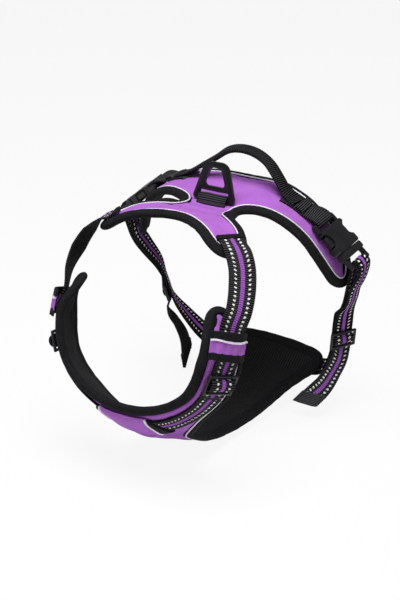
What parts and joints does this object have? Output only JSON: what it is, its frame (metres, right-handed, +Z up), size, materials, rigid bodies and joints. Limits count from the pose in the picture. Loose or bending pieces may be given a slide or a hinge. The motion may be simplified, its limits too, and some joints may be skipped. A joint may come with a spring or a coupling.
{
  "type": "no-pull dog harness",
  "caption": "Padded no-pull dog harness with bound back and chest panels, adjustable webbing, side-release buckles, a carry handle and a leash ring.",
  "frame": {"origin": "middle of the space for the wearer's chest, level with the buckles' middle plane", "axes": "+X to the wearer's left, +Y to the rear, +Z up"},
  "size_m": [0.2643, 0.258, 0.2639],
  "materials": {
    "cover_cloth": "purple woven polyester",
    "foam": "soft foam padding",
    "lining_mesh": "black air mesh",
    "reflective_piping": "silver-white reflective piping",
    "binding_cloth": "black soft woven binding",
    "webbing": "black ribbed webbing with a purple stripe and reflective dots",
    "black_plastic": "black moulded plastic",
    "black_metal": "satin black coated steel"
  },
  "bodies": {
    "harness": {"back_cover": "cover_cloth", "back_foam": "foam", "back_lining": "lining_mesh", "back_binding": "binding_cloth", "back_piping": "reflective_piping", "ring_tab": "webbing", "handle": "webbing", "chest_cover": "cover_cloth", "chest_foam": "foam", "chest_lining": "lining_mesh", "chest_binding": "binding_cloth", "chest_piping": "reflective_piping", "chest_patch": "cover_cloth", "patch_binding": "binding_cloth", "patch_piping": "reflective_piping", "left_shoulder_strap": "webbing", "left_keeper": "cover_cloth", "left_keeper_edges": "binding_cloth", "left_keeper_piping": "reflective_piping", "left_chest_webbing": "webbing", "left_girth_strap": "webbing", "left_wing_webbing": "webbing", "left_buckle_socket": "black_plastic", "right_shoulder_strap": "webbing", "right_keeper": "cover_cloth", "right_keeper_edges": "binding_cloth", "right_keeper_piping": "reflective_piping", "right_chest_webbing": "webbing", "right_girth_strap": "webbing", "right_wing_webbing": "webbing", "right_buckle_socket": "black_plastic"},
    "leash_ring": {"leash_ring": "black_metal"},
    "left_plug": {"left_buckle_plug": "black_plastic"},
    "left_prong_front": {"left_prong_front": "black_plastic"},
    "left_prong_rear": {"left_prong_rear": "black_plastic"},
    "left_shoulder_slider": {"left_shoulder_slider": "black_plastic", "left_shoulder_wrap": "webbing"},
    "left_girth_slider": {"left_girth_slider": "black_plastic", "left_girth_tail": "webbing", "left_strap_tip": "webbing"},
    "right_plug": {"right_buckle_plug": "black_plastic"},
    "right_prong_front": {"right_prong_front": "black_plastic"},
    "right_prong_rear": {"right_prong_rear": "black_plastic"},
    "right_shoulder_slider": {"right_shoulder_slider": "black_plastic", "right_shoulder_wrap": "webbing"},
    "right_girth_slider": {"right_girth_slider": "black_plastic", "right_girth_tail": "webbing", "right_strap_tip": "webbing"}
  },
  "joints": [
    {"name": "leash_ring_swing", "type": "hinge", "parent": "harness", "child": "leash_ring", "pos_m": [0, 0.02435, 0.09315], "axis": [1, 0, 0], "range_deg": [-50, 65]},
    {"name": "left_buckle_release", "type": "slide", "parent": "harness", "child": "left_plug", "axis": [0.7604, 0.0444, -0.6479], "range_m": [0, 0.028], "deforming": ["left_girth_strap", "left_prong_front", "left_prong_rear"]},
    {"name": "left_prong_front_squeeze", "type": "hinge", "parent": "left_plug", "child": "left_prong_front", "pos_m": [0.11445, 0.06099, 0.05004], "axis": [-0.6474, 0.1297, -0.751], "range_deg": [0, 6], "stiffness_Nm_per_rad": 0.05},
    {"name": "left_prong_rear_squeeze", "type": "hinge", "parent": "left_plug", "child": "left_prong_rear", "pos_m": [0.11558, 0.08318, 0.05289], "axis": [0.6474, -0.1297, 0.751], "range_deg": [0, 6], "stiffness_Nm_per_rad": 0.05},
    {"name": "left_shoulder_adjust", "type": "slide", "parent": "harness", "child": "left_shoulder_slider", "axis": [0.3008, 0.1936, 0.9338], "range_m": [0, 0.006]},
    {"name": "left_girth_adjust", "type": "slide", "parent": "harness", "child": "left_girth_slider", "axis": [0.1552, -0.207, 0.9659], "range_m": [0, 0.006]},
    {"name": "right_buckle_release", "type": "slide", "parent": "harness", "child": "right_plug", "axis": [-0.7841, 0.0465, -0.6189], "range_m": [0, 0.028], "deforming": ["right_girth_strap", "right_prong_front", "right_prong_rear"]},
    {"name": "right_prong_front_squeeze", "type": "hinge", "parent": "right_plug", "child": "right_prong_front", "pos_m": [-0.11485, 0.06104, 0.05808], "axis": [-0.6188, -0.1343, 0.774], "range_deg": [0, 6], "stiffness_Nm_per_rad": 0.05},
    {"name": "right_prong_rear_squeeze", "type": "hinge", "parent": "right_plug", "child": "right_prong_rear", "pos_m": [-0.1159, 0.08321, 0.06109], "axis": [0.6188, 0.1343, -0.774], "range_deg": [0, 6], "stiffness_Nm_per_rad": 0.05},
    {"name": "right_shoulder_adjust", "type": "slide", "parent": "harness", "child": "right_shoulder_slider", "axis": [-0.3008, 0.1936, 0.9338], "range_m": [0, 0.006]},
    {"name": "right_girth_adjust", "type": "slide", "parent": "harness", "child": "right_girth_slider", "axis": [-0.1824, -0.2432, 0.9527], "range_m": [0, 0.006]}
  ]
}
